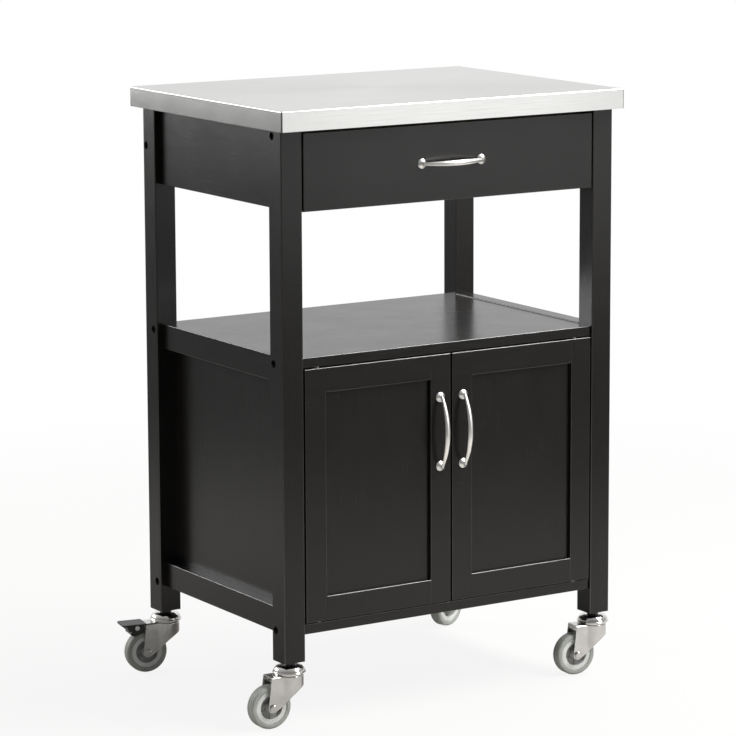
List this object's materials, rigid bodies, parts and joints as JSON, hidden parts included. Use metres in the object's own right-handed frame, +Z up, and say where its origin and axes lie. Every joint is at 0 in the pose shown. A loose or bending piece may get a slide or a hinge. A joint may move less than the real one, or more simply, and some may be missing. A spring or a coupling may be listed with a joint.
{
  "type": "kitchen cart",
  "caption": "Black kitchen cart on casters with a steel worktop, a full-width drawer, an open shelf and a low cabinet with framed doors and bow handles.",
  "frame": {"origin": "on the floor under the centre of the worktop", "axes": "+X to the right seen from the front, -Y to the front with drawer and doors, +Z up"},
  "size_m": [0.6491, 0.4555, 0.907],
  "materials": {
    "worktop_steel": "fine brushed stainless steel",
    "core_board": "raw particle board",
    "black_lacquer": "satin black lacquer",
    "raw_beech": "plain turned beech",
    "zinc_steel": "bright zinc plating",
    "satin_nickel": "satin nickel plating",
    "bright_zinc": "polished zinc plating",
    "tyre_rubber": "moulded grey rubber",
    "rim_plastic": "moulded light grey plastic",
    "black_plastic": "moulded black plastic",
    "white_nylon": "moulded nylon"
  },
  "bodies": {
    "cart": {"worktop_skin": "worktop_steel", "worktop_core": "core_board", "front_left_post": "black_lacquer", "front_right_post": "black_lacquer", "rear_left_post": "black_lacquer", "rear_right_post": "black_lacquer", "left_apron": "black_lacquer", "right_apron": "black_lacquer", "left_shelf_rail": "black_lacquer", "right_shelf_rail": "black_lacquer", "left_lower_rail": "black_lacquer", "right_lower_rail": "black_lacquer", "left_side_panel": "black_lacquer", "right_side_panel": "black_lacquer", "back_apron": "black_lacquer", "front_top_rail": "black_lacquer", "shelf_board": "black_lacquer", "bottom_board": "black_lacquer", "back_panel": "black_lacquer", "frame_bolts": "zinc_steel", "bolt_inserts": "zinc_steel", "frame_dowels": "raw_beech", "runner_channels": "zinc_steel", "pivot_bushes": "white_nylon", "door_catch": "black_plastic", "caster_sockets": "zinc_steel", "caster_stems": "bright_zinc"},
    "drawer": {"drawer_front": "black_lacquer", "drawer_left_side": "black_lacquer", "drawer_right_side": "black_lacquer", "drawer_back": "black_lacquer", "drawer_bottom": "black_lacquer", "drawer_handle": "satin_nickel", "runner_slides": "zinc_steel"},
    "cages": {"ball_cages": "zinc_steel"},
    "left_door": {"left_door_frame": "black_lacquer", "left_door_panel": "black_lacquer", "left_door_handle": "satin_nickel", "left_door_pivots": "zinc_steel", "left_door_strike": "zinc_steel"},
    "right_door": {"right_door_frame": "black_lacquer", "right_door_panel": "black_lacquer", "right_door_handle": "satin_nickel", "right_door_pivots": "zinc_steel", "right_door_strike": "zinc_steel"},
    "front_left_caster": {"front_left_fork": "bright_zinc"},
    "front_left_wheel": {"front_left_hub": "rim_plastic", "front_left_tyre": "tyre_rubber"},
    "front_right_caster": {"front_right_fork": "bright_zinc"},
    "front_right_wheel": {"front_right_hub": "rim_plastic", "front_right_tyre": "tyre_rubber"},
    "rear_left_caster": {"rear_left_fork": "bright_zinc"},
    "rear_left_wheel": {"rear_left_hub": "rim_plastic", "rear_left_tyre": "tyre_rubber"},
    "rear_left_brake": {"rear_left_pedal": "black_plastic"},
    "rear_right_caster": {"rear_right_fork": "bright_zinc"},
    "rear_right_wheel": {"rear_right_hub": "rim_plastic", "rear_right_tyre": "tyre_rubber"},
    "rear_right_brake": {"rear_right_pedal": "black_plastic"}
  },
  "joints": [
    {"name": "drawer_slide", "type": "slide", "parent": "cart", "child": "drawer", "axis": [0, -1, 0], "range_m": [0, 0.25]},
    {"name": "ball_cage_slide", "type": "slide", "parent": "cart", "child": "cages", "axis": [0, -1, 0], "range_m": [0, 0.125]},
    {"name": "left_door_hinge", "type": "hinge", "parent": "cart", "child": "left_door", "pos_m": [-0.2282, -0.197, 0.341], "axis": [0, 0, -1], "range_deg": [0, 110]},
    {"name": "right_door_hinge", "type": "hinge", "parent": "cart", "child": "right_door", "pos_m": [0.2282, -0.197, 0.341], "axis": [0, 0, 1], "range_deg": [0, 110]},
    {"name": "front_left_swivel", "type": "hinge", "parent": "cart", "child": "front_left_caster", "pos_m": [-0.2735, -0.1895, 0.08], "axis": [0, 0, 1], "continuous": true},
    {"name": "front_left_roll", "type": "hinge", "parent": "front_left_caster", "child": "front_left_wheel", "pos_m": [-0.30694, -0.18746, 0.0325], "axis": [0.061, 0.9981, 0], "continuous": true},
    {"name": "front_right_swivel", "type": "hinge", "parent": "cart", "child": "front_right_caster", "pos_m": [0.2735, -0.1895, 0.08], "axis": [0, 0, 1], "continuous": true},
    {"name": "front_right_roll", "type": "hinge", "parent": "front_right_caster", "child": "front_right_wheel", "pos_m": [0.24018, -0.186, 0.0325], "axis": [0.1045, 0.9945, 0], "continuous": true},
    {"name": "rear_left_swivel", "type": "hinge", "parent": "cart", "child": "rear_left_caster", "pos_m": [-0.2735, 0.1835, 0.08], "axis": [0, 0, 1], "continuous": true},
    {"name": "rear_left_roll", "type": "hinge", "parent": "rear_left_caster", "child": "rear_left_wheel", "pos_m": [-0.30639, 0.18989, 0.0325], "axis": [0.1908, 0.9816, 0], "continuous": true},
    {"name": "rear_left_brake_tilt", "type": "hinge", "parent": "rear_left_caster", "child": "rear_left_brake", "pos_m": [-0.32356, 0.19323, 0.0732], "axis": [-0.1908, -0.9816, 0], "range_deg": [0, 10]},
    {"name": "rear_right_swivel", "type": "hinge", "parent": "cart", "child": "rear_right_caster", "pos_m": [0.2735, 0.1835, 0.08], "axis": [0, 0, 1], "continuous": true},
    {"name": "rear_right_roll", "type": "hinge", "parent": "rear_right_caster", "child": "rear_right_wheel", "pos_m": [0.24155, 0.17343, 0.0325], "axis": [-0.3007, 0.9537, 0], "continuous": true},
    {"name": "rear_right_brake_tilt", "type": "hinge", "parent": "rear_right_caster", "child": "rear_right_brake", "pos_m": [0.22486, 0.16816, 0.0732], "axis": [0.3007, -0.9537, 0], "range_deg": [0, 10]}
  ],
  "couplings": [
    {"joint": "ball_cage_slide", "follows": "drawer_slide", "ratio": 0.5}
  ]
}
